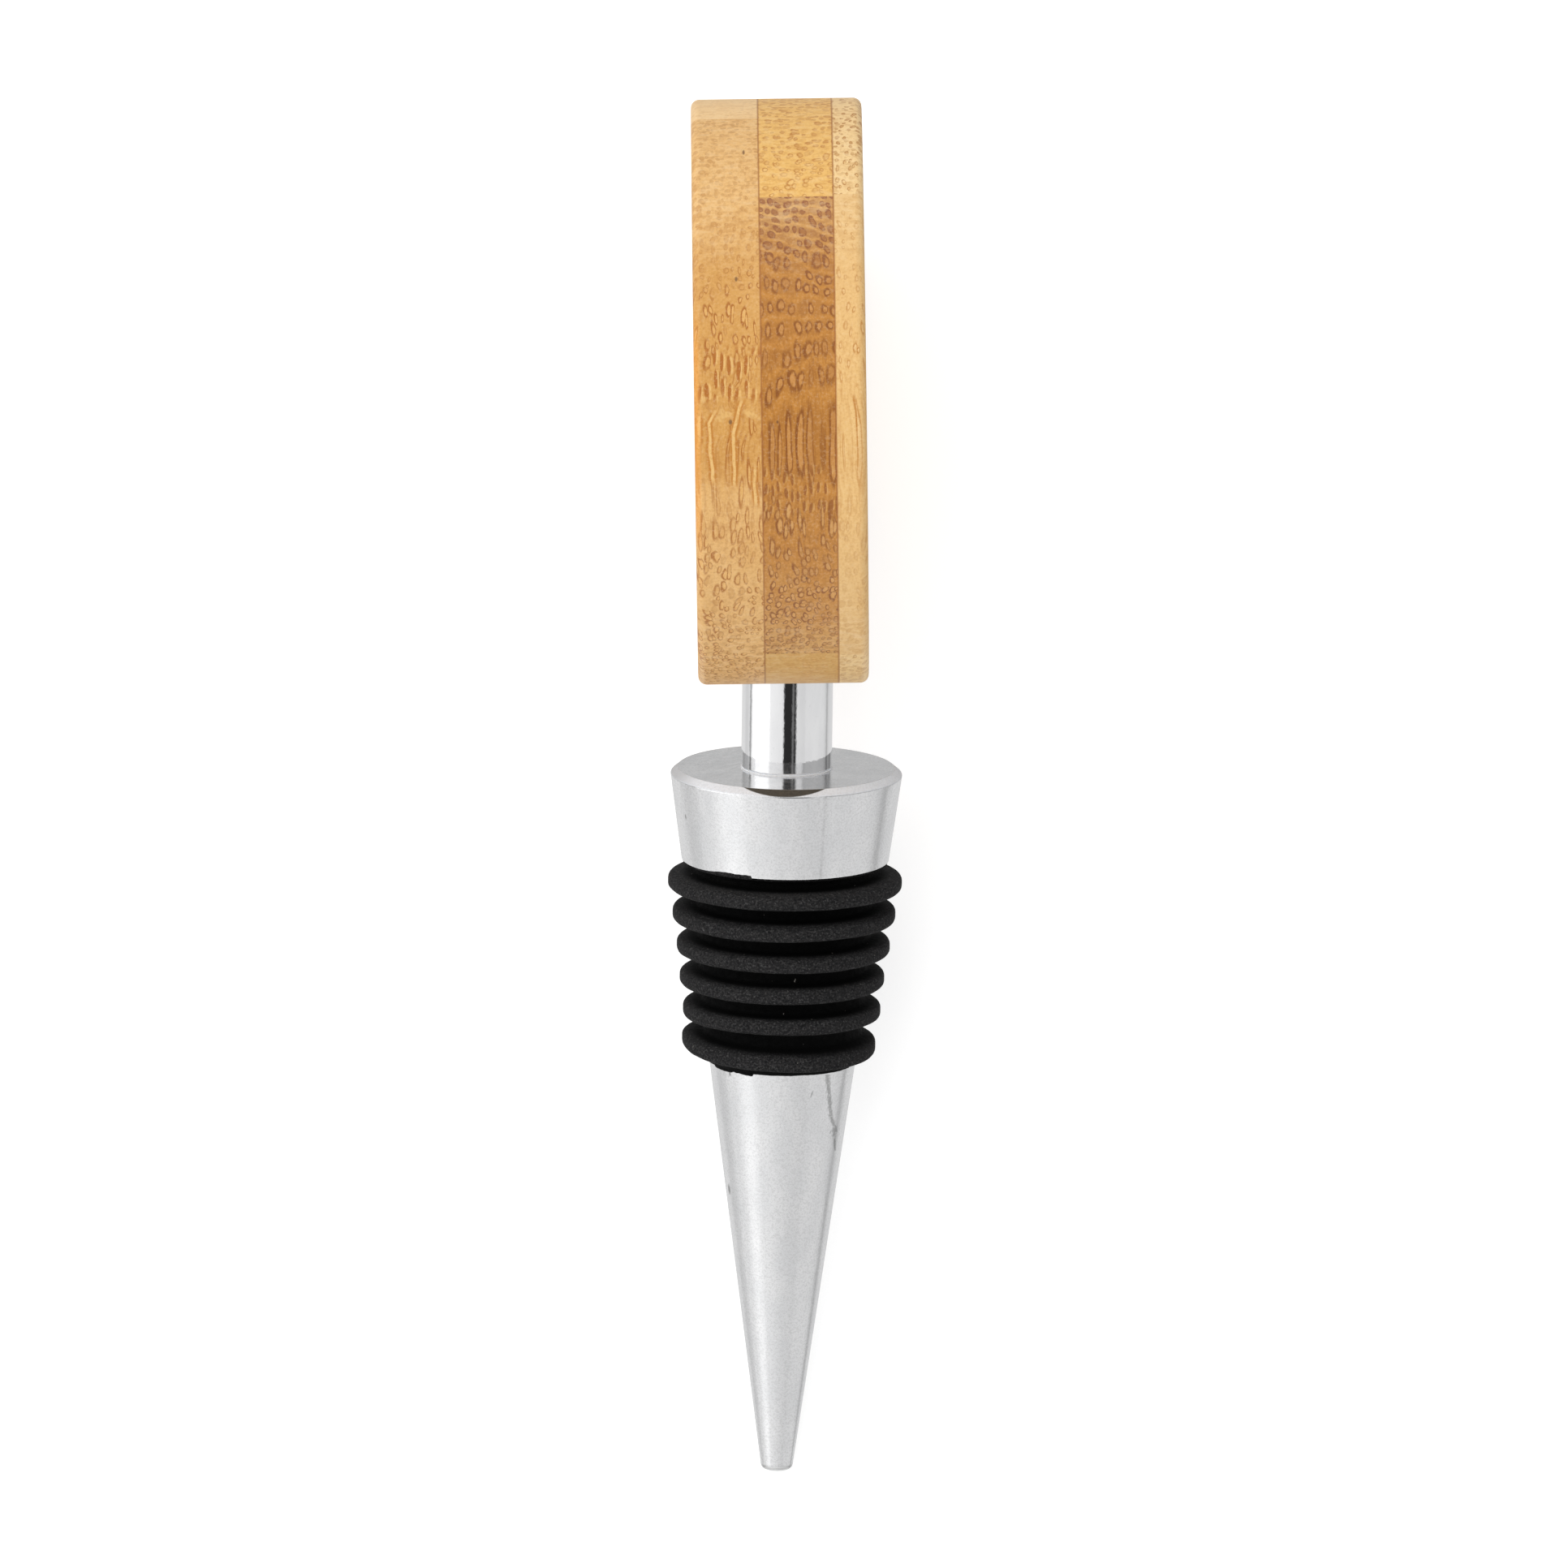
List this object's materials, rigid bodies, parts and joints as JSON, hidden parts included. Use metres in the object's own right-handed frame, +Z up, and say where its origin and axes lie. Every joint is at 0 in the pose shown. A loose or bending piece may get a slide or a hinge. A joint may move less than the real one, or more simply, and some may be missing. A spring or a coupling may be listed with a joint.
{
  "type": "bottle stopper",
  "caption": "Bottle stopper: round laminated bamboo handle on a short chrome post, bright metal collar, black ribbed sealing sleeve and a long tapered metal cone.",
  "frame": {"origin": "on the table, below the middle of the lying stopper's length and width", "axes": "+Z up, +Y from the cone's tip towards the handle, +X to the right seen from above with the handle away"},
  "size_m": [0.0222, 0.1294, 0.0553],
  "materials": {
    "cast_body": "zinc die casting with a satin-bright plating, faint mottling",
    "black_rubber": "matte moulded rubber",
    "chrome_post": "mirror-bright chrome on turned steel",
    "bolt_steel": "zinc-plated steel, hidden",
    "bamboo_tan": "sanded bamboo, light oil",
    "bamboo_straw": "sanded bamboo, light oil",
    "bamboo_honey": "sanded bamboo, light oil",
    "bamboo_caramel": "sanded bamboo, light oil",
    "bamboo_cream": "sanded bamboo, light oil"
  },
  "bodies": {
    "root": {"stopper_body": "cast_body", "seal_sleeve": "black_rubber", "post": "chrome_post", "hanger_bolt": "bolt_steel", "left_front_strip": "bamboo_tan", "left_centre_strip": "bamboo_straw", "left_rear_strip": "bamboo_tan", "middle_front_strip": "bamboo_caramel", "middle_centre_strip": "bamboo_honey", "middle_rear_strip": "bamboo_caramel", "right_front_strip": "bamboo_cream", "right_centre_strip": "bamboo_tan", "right_rear_strip": "bamboo_cream"}
  },
  "joints": []
}
